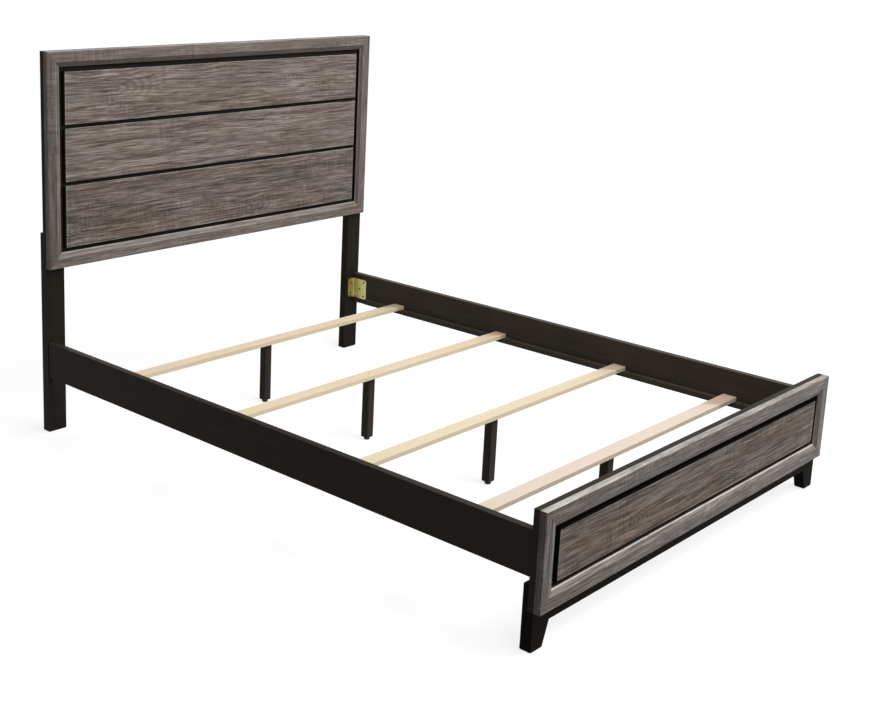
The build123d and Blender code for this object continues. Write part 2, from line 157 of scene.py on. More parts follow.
# %% A new material and its coordinates
def new_material(name, **constants):
    """A Principled material: constants go straight on the shader, and its Object coordinates come back."""
    material = bpy.data.materials.new(name)
    material.use_nodes = True
    shader = material.node_tree.nodes["Principled BSDF"]
    for key, value in constants.items():
        shader.inputs[key.replace("_", " ")].default_value = value
    return material, shader, Sock(shader.outputs[0]).node("TexCoord", get="Object")


def wire(shader, height=None, depth=0.0005, **inputs):
    """Links varying values to the shader, and a height in 0 to 1 to its bump."""
    if height is not None:
        inputs["Normal"] = height.node("Bump", {"Height": height, "Distance": depth, "Strength": 1.0})
    for key, value in inputs.items():
        value.tree.links.new(value.out, shader.inputs[key.replace("_", " ")])
    print(shader.id_data.name, "has", len(shader.id_data.nodes), "nodes and varies in", *inputs)


# %% [markdown]
# ## Weathered grey oak
#
# The grey boards are finished to look like old sawn oak: long streaks, growth rings, a few nested arches where
# the saw met a ring flat on, dark pores, and patches of saw marks across the grain. A scanned picture would
# repeat on every board, so the figure is computed. Rings are distances from a pith line that runs under the
# board at a slight slope, and the board's face cuts them. Each board has its own seed, so no two are alike.


# %% Arches in the grain
def arches(u, across, bend, nose_u, nose_v, size, way):
    """Sine of the distance from a half line that ends at the nose, so the lines are nested U shapes."""
    du, dv = (u - nose_u) * (way / (size * 3.0)), (across - nose_v) / size
    ahead, behind = du.calc("MAXIMUM", 0.0), du.calc("MINIMUM", 0.0)
    distance = (ahead * ahead + dv * dv).calc("SQRT") + bend * 0.5
    fade = step(dv * dv + ahead * ahead * 0.7 + behind * behind * 0.25, 0.2, 2.2, (1.0, 0.0))
    return (distance * 26.0).calc("SINE") * fade, dv * fade * (size * 0.3)


# %% The figure of a board
RING_PITCH = 0.0082
# Cycles in a metre along the grain, across it and into the board
STRETCH = {
    "bend": (3.0, 11.0, 3.0), "pith": (1.9, 0.8, 1.0), "wander": (2.5, 30.0, 9.0), "flame": (1.7, 11.0, 4.0),
    "broad": (2.2, 22.0, 8.0), "streak": (6.5, 150.0, 60.0), "fibre": (34.0, 700.0, 400.0),
    "saw": (170.0, 14.0, 1.0), "sawn": (4.2, 9.0, 1.0), "pores": (18.0, 400.0, 200.0), "stain": (3.5, 12.0, 2.0),
}


def oak_figure(at, along, seed, sawn, bold, whorls):
    """Tone, bump height, streaks, pores and stain: long noise, rings, arches and saw marks added up."""
    x, y, z = split(at)
    u, v = (x, z) if along == "X" else (z, x)
    lie = at.node("CombineXYZ", {0: u, 1: v, 2: y + seed * 3.7})
    bend = noise(lie, 1.0, STRETCH["bend"], 3.0) - 0.5
    across, arched = v + bend * 0.016, bend * 0.0
    for whorl in whorls:
        lines, push = arches(u, across, bend, *whorl)
        arched, across = arched + lines, across + push
    grain = at.node("CombineXYZ", {0: u, 1: across, 2: y + seed * 1.9})
    pith = noise(lie, 1.0, STRETCH["pith"], 2.0) * 0.42 - 0.13
    middle = across - 0.06 * math.sin(seed * 5.1)
    wander = (noise(grain, 1.0, STRETCH["wander"]) - 0.5) * 0.014
    radius = (middle * middle + pith * pith).calc("SQRT") + wander
    rings = (radius * (2 * math.pi / RING_PITCH)).calc("SINE") * 0.5 + 0.5
    flame = step(noise(grain, 1.0, STRETCH["flame"], 2.0), 0.46, 0.68)
    broad = noise(grain, 1.0, STRETCH["broad"], 3.0, 0.6) - 0.5
    streak = noise(grain, 1.0, STRETCH["streak"], 3.0, 0.75) - 0.5
    fibre = noise(grain, 1.0, STRETCH["fibre"], 3.0, 0.65) - 0.5
    saw_at = at.node("CombineXYZ", {0: u + v * 0.06 + bend * 0.01, 1: v, 2: y + seed})
    saw = noise(saw_at, 1.0, STRETCH["saw"], 3.0, 0.6) - 0.5
    saw = saw * step(noise(saw_at, 1.0, STRETCH["sawn"], 2.0), 0.45, 0.62)
    tone = ((broad * 0.55 + streak * 1.75) * bold + fibre * 0.5 + (rings - 0.55) * flame * 0.20
            + arched * (streak * 0.25 + 0.075) + saw * sawn + 0.54)
    pores = step(noise(grain, 1.0, STRETCH["pores"], 2.0, 0.6), 0.53, 0.66)
    pores = pores * step(broad + saw * 0.3, -0.16, 0.10)
    height = streak + saw * 0.5 - pores * 0.4 + rings * flame * 0.15
    stain = step(noise(lie, 1.0, STRETCH["stain"], 2.0), 0.44, 0.68)
    return tone, height, streak, pores, stain


# %% [markdown]
# ## Painted highlights and painted shade
#
# The arrises carry painted highlights: pale lines that stand in for the light the rounded edges catch. The black
# of the grooves is painted a few millimetres over the planks' rims, so the grooves look wider than the gaps
# between the boards. This is painted shade for the frame's shadow on the plank. A plank finds its rim from its
# own coordinates. A moulding has a curved section, so its marks come from an attribute that the surface carries.


# %% Marks on planks and mouldings
# how far the black laps over the planks' rims on each side: painted shade for the frame's shadow
RIM_SHADE = {"left": 0.005, "right": 0.003, "bottom": 0.001, "top": 0.004}
# black from the first depth band behind the face; a painted highlight over the arris in the second band
LAP_BLUR, EDGE_BLACK, EDGE_HIGHLIGHT = 0.0004, (0.0022, 0.0030), (0.0001, 0.0006)
GLINT_STARTS, GLINT_ENDS = (0.0002, 0.0010), (0.0014, 0.0028)


def plank_marks(at, front, low, high):
    """Painted highlight where the arris turns and just inside the rim; black down the edge, and painted shade
    over the rim's lap.
    """
    x, y, z = split(at)
    rim = (x - (low[0] + RIM_SHADE["left"])).calc("MINIMUM", (high[0] - RIM_SHADE["right"]) - x)
    rim = rim.calc("MINIMUM", z - (low[1] + RIM_SHADE["bottom"]))
    rim = rim.calc("MINIMUM", (high[1] - RIM_SHADE["top"]) - z)
    groove = step(y, *(front + depth for depth in EDGE_BLACK))
    # painted shade: black over the rim's lap
    groove = groove.calc("MAXIMUM", step(rim, -LAP_BLUR, LAP_BLUR, (1.0, 0.0)))
    # painted highlight along the arris, and as a glint just inside the rim
    arris = step(y, *(front + depth for depth in EDGE_HIGHLIGHT)) * 0.7
    glint = step(rim, *GLINT_STARTS) * step(rim, *GLINT_ENDS, (0.45, 0.0))
    return arris.calc("MAXIMUM", glint), groove, None


def moulding_marks(at):
    """The attribute's three numbers: distance from the mitre, painted light and shade, and paint that is black
    above 1.5.
    """
    mitre, painted_light_and_shade, paint = split(at.node("Attribute", get="Vector", attribute_name="trim"))
    return painted_light_and_shade, step(paint, 1.2, 1.8), step(mitre, 0.0, 0.0016, (0.75, 0.0)) * paint.calc("SIGN")


# %% Grey oak
OAK = ((0.14, (0.056, 0.043, 0.036)), (0.40, (0.140, 0.114, 0.101)),
       (0.58, (0.232, 0.193, 0.173)), (0.92, (0.43, 0.375, 0.343)))
# colours of the painted highlight, the painted shade and the pores
OAK_HIGHLIGHT, OAK_SHADED, OAK_PORE = (0.62, 0.595, 0.57), (0.045, 0.032, 0.025), (0.062, 0.053, 0.048)
OAK_STAIN, MITRE_LINE, GROOVE_BLACK = (0.96, 0.86, 0.72), (0.060, 0.042, 0.030), (0.003, 0.0026, 0.002)


def grey_oak(name, along, seed, pale=0.0, sawn=0.6, warm=0.40, gloss=0.13, bold=1.0, whorls=(), field=None):
    """Tone walks through four greys, then stain, pores, painted highlight and shade, mitre line and groove go
    over it.
    """
    material, shader, at = new_material(name, Specular_IOR_Level=gloss)
    tone, height, streak, pores, stain = oak_figure(at, along, seed, sawn, bold, whorls)
    painted_light_and_shade, groove, mitre = plank_marks(at, *field) if field else moulding_marks(at)
    colour = mix(stain * warm, walk(tone + pale, *OAK), OAK_STAIN, "MULTIPLY")
    colour = mix(pores * 0.62, colour, OAK_PORE)
    # painted highlight: positive marks lighten the oak on arrises, lips, quirks and lit faces
    colour = mix(painted_light_and_shade.calc("MAXIMUM", 0.0) * (streak * 2.6 + 0.72), colour, OAK_HIGHLIGHT)
    if mitre:
        # painted shade: negative marks darken bevels, sides and walls that face away from the lamps
        colour = mix(mitre, mix(painted_light_and_shade * -1.0, colour, OAK_SHADED), MITRE_LINE)
    wire(shader, height, 0.00006, Base_Color=mix(groove, colour, GROOVE_BLACK),
         Roughness=0.30 - streak * 0.25 + pores * 0.2 + groove * 0.4)
    return material


# %% [markdown]
# ## Black lacquer
#
# The rails, posts and legs are sprayed satin black over hardwood, so the grain shows only as a faint ripple
# under an orange-peel skin. A flat black would do from afar. Each group of pieces has its own lift: the right
# rail's and the back panels' are raised as painted light, the foot legs' and foot rail's are lowered as painted
# shade, and the centre legs are a browner black.


# %% Black lacquer
LACQUER_DEEP, LACQUER_THIN = np.array((0.0185, 0.0150, 0.0118)), np.array((0.0285, 0.0232, 0.0185))


def black_lacquer(name, along, lift=1.0, gloss=0.03):
    """A near-black film: fine orange peel, a ghost of grain along the board, and dust that dulls its gloss."""
    material, shader, at = new_material(name, Specular_IOR_Level=gloss)
    grain = noise(at, 1.0, [3.0 if axis == along else 70.0 for axis in "XYZ"], 4.0, 0.6)
    peel = noise(at, 420.0, detail=1.0)
    haze = noise(at, 5.0, detail=3.0)
    colour = walk(grain * 0.6 + haze * 0.4, (0.3, LACQUER_DEEP * lift), (0.72, LACQUER_THIN * lift))
    wire(shader, grain * 0.7 + peel * 0.3, 0.00025, Base_Color=colour,
         Roughness=haze * 0.16 + grain * 0.08 + 0.27)
    return material


# %% [markdown]
# ## Raw pine
#
# The slats are sawn pine, left bare: soft honey rings on cream, yellower sawn edges that are also painted
# lighter as painted light, resin flecks, and a browner right end that is a painted shadow of the right rail. The
# rings are again distances from a pith line, which shows each slat as one stick cut from one tree. No two slats
# are quite the same colour.


# %% Raw pine
PINE = ((0.2, (0.84, 0.715, 0.55)), (0.5, (0.79, 0.64, 0.455)), (0.9, (0.66, 0.47, 0.28)))
PINE_RING_PITCH, SAWN_EDGE = 0.009, (0.0030, 0.0010)
# sawn-edge colour, partly painted light; painted shadow colour of the right end; resin colour
PINE_EDGE, PINE_SHADOW, PINE_RESIN = (0.92, 0.77, 0.52), (0.44, 0.29, 0.21), (0.42, 0.25, 0.12)


def raw_pine(name, seed, top, shadow_start, blush):
    """Sine of the distance from the pith, cubed for thin late wood; edge, painted shadow and resin go over it."""
    material, shader, at = new_material(name, Specular_IOR_Level=0.3)
    u, v, z = split(at)
    grain = at.node("CombineXYZ", {0: u, 1: v, 2: z + seed * 2.3})
    bend = noise(grain, 1.0, (1.6, 8.0, 8.0), 2.0) - 0.5
    pith = noise(grain, 1.0, (0.9, 0.5, 1.0), 1.0) * 0.2 + 0.015
    middle = v + bend * 0.02 + seed
    radius = (middle * middle + pith * pith).calc("SQRT")
    rings = ((radius * (2 * math.pi / PINE_RING_PITCH)).calc("SINE") * 0.5 + 0.5).calc("POWER", 3.0)
    streak = noise(grain, 1.0, (4.0, 220.0, 220.0), 3.0, 0.6)
    cloud = noise(grain, 1.0, (3.0, 9.0, 9.0), 2.0)
    stops = [(place, np.array(colour) * blush) for place, colour in PINE]
    colour = walk(rings * 0.35 + streak * 0.40 + cloud * 0.3, *stops)
    # sides below the top: a yellower sawn-edge tone, also lighter as painted light
    colour = mix(step(z, *(top - depth for depth in SAWN_EDGE), (0.75, 0.0)), colour, PINE_EDGE)
    # painted shadow of the right rail over each slat's right end, with a slanted edge
    colour = mix(step(u + v * 0.8 + cloud * 0.03, shadow_start, shadow_start + 0.03, (0.0, 0.7)), colour, PINE_SHADOW)
    flecks = step(noise(grain, 1.0, (60.0, 900.0, 900.0), 1.0), 0.66, 0.74)
    wire(shader, streak * 0.7 + rings * 0.2, 0.0003, Base_Color=mix(flecks * 0.3, colour, PINE_RESIN),
         Roughness=streak * -0.1 + 0.62)
    return material


# %% [markdown]
# ## Plating and nylon
#
# The corner brackets are yellow-passivated steel, whose film drifts from gold to green. The screws are black
# oxide, apart from the four bright ones through the slats, and the glides are moulded nylon. A metal needs
# little colour of its own: most of its look is a roughness that varies.


# %% Plated steel
def plated(name, low, high, tint):
    """A plated sheet: a rolled grain, a film whose colour drifts, and light scratches in the roughness."""
    material, shader, at = new_material(name, Metallic=1.0)
    drift = noise(at, 38.0, detail=3.0)
    rolled = noise(at, 1.0, (900.0, 900.0, 60.0), 2.0)
    film = step(noise(at, 16.0, detail=2.0), 0.45, 0.7, (0.0, 0.6))
    wire(shader, rolled, 0.00008, Base_Color=mix(film, walk(drift, (0.3, low), (0.7, high)), tint),
         Roughness=drift * 0.2 + rolled * 0.12 + 0.2)
    return material


# %% Moulded nylon
def nylon(name):
    """Moulded plastic: a fine spark-eroded skin, with scuffs that lighten it near the floor."""
    material, shader, at = new_material(name, Specular_IOR_Level=0.4)
    skin = noise(at, 900.0, detail=2.0)
    scuff = step(noise(at, 1.0, (300.0, 300.0, 40.0), 3.0), 0.52, 0.75)
    colour = mix(scuff * 0.5, (0.018, 0.018, 0.019), (0.06, 0.058, 0.056))
    wire(shader, skin, 0.0001, Base_Color=colour, Roughness=skin * 0.15 + scuff * 0.15 + 0.4)
    return material


# %% [markdown]
# ## Dressing the CAD nodes
#
# Each carried-over node keeps its mesh and takes a finish in its slots. One finish for all boards would be
# shorter, but real boards differ in grain direction, figure and shade, so each board's finish is made for it.
# The headboard's mouldings have a calmer figure than the footboard's.


# %% One finish per node
def dress(name, material):
    """Puts one material in every slot of a CAD node."""
    mesh = nodes[name].data
    mesh.materials.clear()
    mesh.materials.append(material)


def corners(*names):
    """The lowest and highest corner of the named nodes together."""
    boxes = np.array([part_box(name) for name in names])
    return boxes[:, 0].min(0), boxes[:, 1].max(0)


print("nodes to dress:", len(nodes))

# %% Oak for planks and mouldings
FRAME_BOLD = {"headboard": 0.5, "footboard": 1.0}
headboard_planks = ["headboard_plank_" + row for row in ("bottom", "middle", "top")]
planks = {
    "headboard_plank_top": dict(seed=1.0, pale=0.02,
                                whorls=((0.42, 1.20, 0.030, -1), (-0.52, 1.205, 0.050, 1))),
    "headboard_plank_middle": dict(seed=2.3, pale=0.02, whorls=((0.15, 0.99, 0.026, 1),)),
    "headboard_plank_bottom": dict(seed=3.1, pale=-0.08,
                                   whorls=((0.10, 0.70, 0.040, 1), (-0.62, 0.72, 0.034, -1))),
    "footboard_plank": dict(seed=8.6, pale=-0.08, sawn=0.85, warm=0.9, gloss=0.03,
                            whorls=((-0.40, 0.23, 0.030, 1),)),
}
# pale lightens or darkens a board; the footboard's mouldings are darker partly as painted shade for the dimmer
# light at the foot end
mouldings = {
    "headboard_frame_top": ("X", 4.7, 0.0), "headboard_frame_bottom": ("X", 5.2, 0.0),
    "headboard_frame_left": ("Z", 6.4, -0.115), "headboard_frame_right": ("Z", 7.9, -0.05),
    "footboard_frame_top": ("X", 9.3, -0.10), "footboard_frame_bottom": ("X", 10.8, -0.10),
    "footboard_frame_left": ("Z", 11.5, -0.14), "footboard_frame_right": ("Z", 12.2, -0.10),
}
oak = {}
for name, look in mouldings.items():
    oak[name] = grey_oak("oak_" + name, *look, bold=FRAME_BOLD[name.split("_")[0]])
for name, look in planks.items():
    low, high = corners(*(headboard_planks if name in headboard_planks else [name]))
    oak[name] = grey_oak("oak_" + name, "X", field=(low[1], low[::2], high[::2]), **look)
for name in oak:
    dress(name, oak[name])
print(len(oak), "oak boards")

# %% Lacquer for rails, posts, legs and backs
# lifts: right rail and back panels raised as painted light, foot legs and foot rail lowered as painted shade
lacquer = {
    "left_rail": black_lacquer("lacquer_left_rail", "Y", 1.2),
    "right_rail": black_lacquer("lacquer_right_rail", "Y", 2.95),
    "post": black_lacquer("lacquer_post", "Z"),
    "centre_leg": black_lacquer("lacquer_centre_leg", "Z", 1.9),
    "foot_leg": black_lacquer("lacquer_foot_leg", "Z", 0.55, 0.006),
    "foot_rail": black_lacquer("lacquer_foot_rail", "X", 0.55, 0.006),
    "back": black_lacquer("lacquer_back", "X", 1.4, 0.015),
}
lacquered = {
    "left_side_rail": "left_rail", "left_slat_ledger": "left_rail", "right_side_rail": "right_rail",
    "right_slat_ledger": "right_rail", "headboard_left_post": "post", "headboard_right_post": "post",
    "footboard_left_leg": "foot_leg", "footboard_right_leg": "foot_leg", "footboard_bottom_rail": "foot_rail",
    "headboard_back_panel": "back", "footboard_back_panel": "back",
    **{f"support_leg_{i}": "centre_leg" for i in range(1, 5)},
}
for name, finish in lacquered.items():
    dress(name, lacquer[finish])
print(len(lacquered), "lacquered pieces")

# %% Pine for the slats
slat_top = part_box("slat_1")[1][2]
slat_y = [sum(corner[1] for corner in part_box(f"slat_{i}")) / 2 for i in range(1, 5)]
# where the right rail's painted shadow begins on each slat
shadow_reach = (0.71, 0.72, 0.69, 0.63)
blush = ((1.0, 1.0, 1.0), (1.0, 1.0, 1.0), (0.95, 0.99, 0.99), (0.90, 0.92, 1.07))
pine = {}
for i, (y, reach, tint) in enumerate(zip(slat_y, shadow_reach, blush), 1):
    pine[f"slat_{i}"] = raw_pine(f"pine_slat_{i}", 0.37 * i, slat_top, y * 0.8 + reach, tint)
for name in pine:
    dress(name, pine[name])
print("slats at y =", [round(y, 4) for y in slat_y])

# %% Plating and nylon for the fittings
yellow = plated("yellow_zinc", (0.46, 0.40, 0.15), (0.62, 0.52, 0.24), (0.42, 0.47, 0.22))
oxide = plated("black_oxide", (0.020, 0.020, 0.021), (0.034, 0.033, 0.033), (0.028, 0.024, 0.022))
steel = plated("screw_steel", (0.42, 0.42, 0.42), (0.58, 0.58, 0.57), (0.5, 0.5, 0.48))
plastic = nylon("glide_nylon")
fittings = [name for name in nodes if name not in {**oak, **lacquered, **pine}]
for name in fittings:
    metal = yellow if name.startswith("corner_bracket") else steel
    dress(name, plastic if name.startswith("leveller") and not name.endswith("inserts") else metal)
print(len(fittings), "fittings:", *fittings)

# %% [markdown]
# ## Surfaces from arrays
#
# A board that catches the light has no sharp edge, so the boards in view are drawn again with soft arrises.
# Each is one formula evaluated on a whole grid of parameters. Points that share a place and a normal are
# welded, and the exact normals go on the mesh, so flat faces stay flat beside a round edge.


# %% From grids to a piece
def cells(rows, columns):
    """The four corners of each cell of a grid whose columns close into a ring."""
    grid = np.arange(rows * columns).reshape(rows, columns)
    grid = np.c_[grid, grid[:, :1]]
    return np.stack([grid[:-1, :-1], grid[:-1, 1:], grid[1:, 1:], grid[1:, :-1]], -1).reshape(-1, 4)


def cap(ring):
    """A ring closed by a fan from its first point, each triangle written as a cell with its last corner twice."""
    return np.stack([np.full(len(ring) - 2, ring[0]), ring[1:-1], ring[2:], ring[2:]], -1)


def tube(rows, columns):
    """The cells of a ringed grid with both of its ends closed."""
    ring = np.arange(columns)
    return np.concatenate([cells(rows, columns), cap(ring[::-1]), cap(ring + (rows - 1) * columns)])


def piece(name, points, normals, faces, material, replaced, body="bed", trim=None):
    """A welded mesh of the cells that have an area, standing for its CAD nodes and riding on their body."""
    key = np.round(points, 7) if normals is None else np.c_[np.round(points, 7), np.round(normals, 3)]
    _, first, place = np.unique(key, axis=0, return_index=True, return_inverse=True)
    corner = np.concatenate([faces[:, [0, 1, 2]], faces[:, [0, 2, 3]]])
    a, b, c = (points[corner[:, i]] for i in range(3))
    wide = np.linalg.norm(np.cross(b - a, c - a), axis=1) > 1e-12
    mesh = bpy.data.meshes.new(name)
    mesh.from_pydata(points[first].tolist(), [], place.ravel()[corner[wide]].tolist())
    mesh.polygons.foreach_set("use_smooth", np.ones(len(mesh.polygons), bool))
    if normals is not None:
        mesh.normals_split_custom_set_from_vertices(normals[first].tolist())
    if trim is not None:
        mesh.attributes.new("trim", "FLOAT_VECTOR", "POINT").data.foreach_set("vector", trim[first].ravel())
    mesh.materials.append(material)
    obj = bpy.data.objects.new(name, mesh)
    bpy.context.scene.collection.objects.link(obj)
    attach(obj, body)
    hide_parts(*replaced)
    print(name, "has", len(mesh.polygons), "triangles")
    return obj


# %% [markdown]
# ## Soft-edged boards
#
# A planed board with eased edges is a thinner board grown outwards by a small radius. That is the whole
# formula: a point of the inner board plus the radius times the normal. A bevel modifier gives a similar edge,
# but here the normal is known exactly and needs no estimate.


# %% A board grown from its core
def board(name, axis, radius, material, steps=3):
    """Core corner plus radius times the normal, for normals that turn round the section and over both ends."""
    low, high = (np.array(corner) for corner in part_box(name))
    a, b, c = {"X": (1, 2, 0), "Y": (2, 0, 1), "Z": (0, 1, 2)}[axis]
    turn = (np.arange(4)[:, None] * 90 + np.linspace(0, 90, steps + 1)).ravel()
    tilt = np.r_[np.linspace(-90, 0, steps + 1), np.linspace(0, 90, steps + 1)]
    turn, tilt = np.meshgrid(np.radians(turn), np.radians(tilt))
    normal = np.zeros((*turn.shape, 3))
    normal[..., a], normal[..., b] = np.cos(turn) * np.cos(tilt), np.sin(turn) * np.cos(tilt)
    normal[..., c] = np.sin(tilt)
    quarter = np.repeat(np.arange(4), steps + 1)
    sign = np.zeros_like(normal)
    sign[..., a], sign[..., b] = np.array([1, -1, -1, 1])[quarter], np.array([1, 1, -1, -1])[quarter]
    sign[..., c] = np.repeat([-1, 1], steps + 1)[:, None]
    point = (low + high) / 2 + sign * ((high - low) / 2 - radius) + radius * normal
    return piece(name + "_eased", point.reshape(-1, 3), normal.reshape(-1, 3), tube(*turn.shape),
                 material, [name])


# %% Planks, rails and slats
PLANK_EASE, RAIL_EASE, SLAT_EASE = 0.0016, 0.002, 0.0012
for name in planks:
    board(name, "Y", PLANK_EASE, oak[name])
for name in ("left_side_rail", "right_side_rail"):
    board(name, "Y", RAIL_EASE, lacquer[lacquered[name]])
for name in pine:
    board(name, "X", SLAT_EASE, pine[name])

# %% [markdown]
# ## Mitred mouldings
#
# Each member of the two picture frames is one section pushed along its edge: a flat, a small quirk, a shallow
# bevel towards the panel, and a rounded lip. The joiner cuts it at 45 degrees, so a line that lies a distance in
# from the outer edge is shorter by that distance at both ends. Light falls differently on each side of a frame,
# so the table of painted light and shade has a row for each side: painted highlights on lit faces, quirks and
# lips, and painted shade on faces turned from the lamps.


# %% The section
# the last: the run on the flat over which the quirk's painted highlight fades in
ARRIS, QUIRK, LIP, BEAD, QUIRK_GLINT_RUN = 0.0022, 0.0016, 0.0026, 0.005, 0.0026
BEVEL_WIDTH, BEVEL_DEPTH = 0.016, 0.0065
LIP_FOOT, BARE_WALL, PAINT_EDGE, WALL_SHADE = 0.0006, 0.0012, 0.0008, -0.55


def arc(centre, radius, first, last, steps=5):
    """Points of a circle's arc, each with the angle of its normal."""
    angle = np.linspace(first, last, steps)
    return np.c_[np.add(centre, radius * np.c_[np.cos(np.radians(angle)), np.sin(np.radians(angle))]), angle]


def section(width, thick, outer, arris, bevel, quirk, lip, wall=None):
    """Once round from the back: offset in, height, angle of the normal, painted light and shade, and paint of
    each point.
    """
    slope = math.atan2(BEVEL_DEPTH - QUIRK, BEVEL_WIDTH)
    edge, low, tilt = width - BEVEL_WIDTH, thick - BEVEL_DEPTH, 90 - math.degrees(slope)
    wall = low - LIP - BARE_WALL if wall is None else wall
    shape = np.vstack([
        (0, 0, 180), arc((ARRIS, thick - ARRIS), ARRIS, 180, 90), (edge - QUIRK - QUIRK_GLINT_RUN, thick, 90),
        arc((edge - QUIRK, thick - QUIRK), QUIRK, 90, 0),
        (edge, thick - QUIRK, tilt),
        (width - BEAD, thick - QUIRK - (BEVEL_WIDTH - BEAD) * math.tan(slope), tilt),
        arc((width - LIP, low - LIP), LIP, tilt, 0), (width, low - LIP - LIP_FOOT, 0), (width, wall, 0),
        (width, wall - PAINT_EDGE, 0), (width, 0, 0), (width, 0, 270), (0, 0, 270)])
    # painted highlights on arris, quirk, lip and lit faces; painted shade on shaded bevels and the inner wall
    painted_light_and_shade = np.r_[
        outer, outer, arris * 0.7, arris, arris * 0.7, 0, 0,
        quirk, quirk, quirk, quirk, quirk * 0.4, bevel, bevel,
        bevel + lip * 0.7, lip, lip, lip, lip * 0.6, WALL_SHADE, WALL_SHADE, np.zeros(4)]
    paint = np.r_[np.ones(len(shape) - 4), np.full(4, 2)]
    return shape[:, :2], np.radians(shape[:, 2]), np.c_[painted_light_and_shade, paint]


print("section points:", len(section(0.0535, 0.02, 0, 0, 0, 0, 0)[0]))

# %% Four members round a panel
MITRE_ROWS = np.array([0.0, 0.003, 0.06])


def member(name, start, stop, front, width, thick, painted_light_by_side, material, fade):
    """Corner plus run times (offset + distance), plus inward times offset, plus forward times height."""
    offset, turn, marks = section(width, thick, **painted_light_by_side)
    run = (stop - start) / np.linalg.norm(stop - start)
    inward = np.array([-run[1], run[0]])
    reach = MITRE_ROWS[:, None] + offset[:, 0]
    flat = np.concatenate([start + reach[..., None] * run, stop - reach[::-1, :, None] * run])
    point = np.insert(flat + offset[:, 0, None] * inward, 1, front + thick - offset[:, 1], axis=2)
    rows, columns = point.shape[:2]
    normal = np.insert(np.tile(np.cos(turn)[:, None] * inward, (rows, 1, 1)), 1, -np.sin(turn), axis=2)
    mitre = np.repeat(np.r_[MITRE_ROWS, MITRE_ROWS[::-1]], columns)
    trim = np.c_[mitre, np.tile(marks, (rows, 1))]
    # the painted light and shade of the half from the start is scaled, so the top's painted highlight fades along
    # it
    trim[:rows * columns // 2, 1] *= fade
    piece(name + "_moulded", point.reshape(-1, 3), normal.reshape(-1, 3), tube(rows, columns)[:, ::-1],
          material, [name], trim=trim)


def mitred_frame(prefix, painted_light_by_side, top_light_fade):
    """Bottom, right, top and left members, each from one corner of the panel to the next."""
    low, high = corners(*(f"{prefix}_{side}" for side in painted_light_by_side))
    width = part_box(prefix + "_bottom")[1][2] - low[2]
    ring = np.array([(low[0], low[2]), (high[0], low[2]), (high[0], high[2]), (low[0], high[2])])
    for side, start, stop in zip(painted_light_by_side, ring, np.roll(ring, -1, axis=0)):
        name = f"{prefix}_{side}"
        fade = top_light_fade if side == "top" else 1.0
        member(name, start, stop, low[1], width, high[1] - low[1], painted_light_by_side[side], oak[name], fade)


# %% The two frames and their painted light and shade
mitred_frame("headboard_frame", {
    "bottom": dict(outer=0.0, arris=0.1, bevel=0.18, quirk=0.35, lip=0.5),
    "right": dict(outer=0.0, arris=0.2, bevel=-0.25, quirk=0.3, lip=0.3),
    "top": dict(outer=0.12, arris=0.3, bevel=-0.6, quirk=0.1, lip=0.0),
    "left": dict(outer=-0.5, arris=0.1, bevel=0.05, quirk=0.30, lip=0.3)}, top_light_fade=1.0)
mitred_frame("footboard_frame", {
    "bottom": dict(outer=0.0, arris=0.2, bevel=0.22, quirk=0.12, lip=1.8, wall=0.003),
    "right": dict(outer=0.0, arris=0.3, bevel=-0.25, quirk=0.2, lip=0.3),
    "top": dict(outer=0.75, arris=0.9, bevel=-0.7, quirk=0.0, lip=0.0),
    "left": dict(outer=-0.55, arris=0.1, bevel=0.05, quirk=0.75, lip=0.4)}, top_light_fade=0.4)

# %% [markdown]
# ## Turned pieces: screws and glides
#
# A screw head and a glide are lathe work, so each is a profile turned about its axis. The cross of a screw is
# pressed in afterwards: points near either bar of the cross sink along the axis. The glide's stem has a rolled
# thread, which is the same lathe surface with a radius that climbs by one pitch each turn.


# %% Profiles round an axis
CROSS_WIDTH, CROSS_REACH, CROSS_ABOVE = 0.17, 0.62, 0.3


def turned(name, profile, seats, material, replaced, body="bed", cross=0.0, pitch=0.0, sides=24):
    """Seat plus radius round the axis plus height along it; a cross sinks the top, a thread waves the radius."""
    radius, height, thread = (np.repeat(column[:, None], sides, 1) for column in np.array(profile, float).T)
    angle = np.linspace(0, 2 * math.pi, sides, endpoint=False)
    if pitch:
        radius = radius - thread * np.abs((height / pitch - angle / (2 * math.pi)) % 1.0 - 0.5) * 2.0
    x, y = radius * np.cos(angle), radius * np.sin(angle)
    bar = np.minimum(np.abs(x), np.abs(y)) / (CROSS_WIDTH * radius.max())
    reach = np.maximum(np.abs(x), np.abs(y)) / (CROSS_REACH * radius.max())
    pressed = np.clip(1.6 - 1.2 * bar, 0, 1) * np.clip(4.0 - 4.0 * reach, 0, 1)
    pressed = pressed * (height > height.max() * CROSS_ABOVE)
    shape = np.stack([x, y, height - cross * pressed], -1).reshape(-1, 3)
    turns = np.array([Vector(axis).to_track_quat("Z", "Y").to_matrix() for _, axis in seats])
    places = np.array([place for place, _ in seats], float)
    points = places[:, None] + np.einsum("pj,sij->spi", shape, turns)
    shift = np.arange(len(seats))[:, None, None] * len(shape)
    faces = (tube(*radius.shape)[:, ::-1] + shift).reshape(-1, 4)
    return piece(name, points.reshape(-1, 3), None, faces, material, replaced, body)


def pan(size, rise, seat, below):
    """A round head from its middle over the rim, rising by one minus the cube of the radius, and down below."""
    share = np.array([0.04, 0.16, 0.28, 0.40, 0.52, 0.64, 0.76, 0.87, 0.95, 0.99, 1.0, 1.0])
    high = np.r_[rise * (1 - share[:-1] ** 3), -below] + seat
    return np.c_[size * share, high, np.zeros(len(share))]


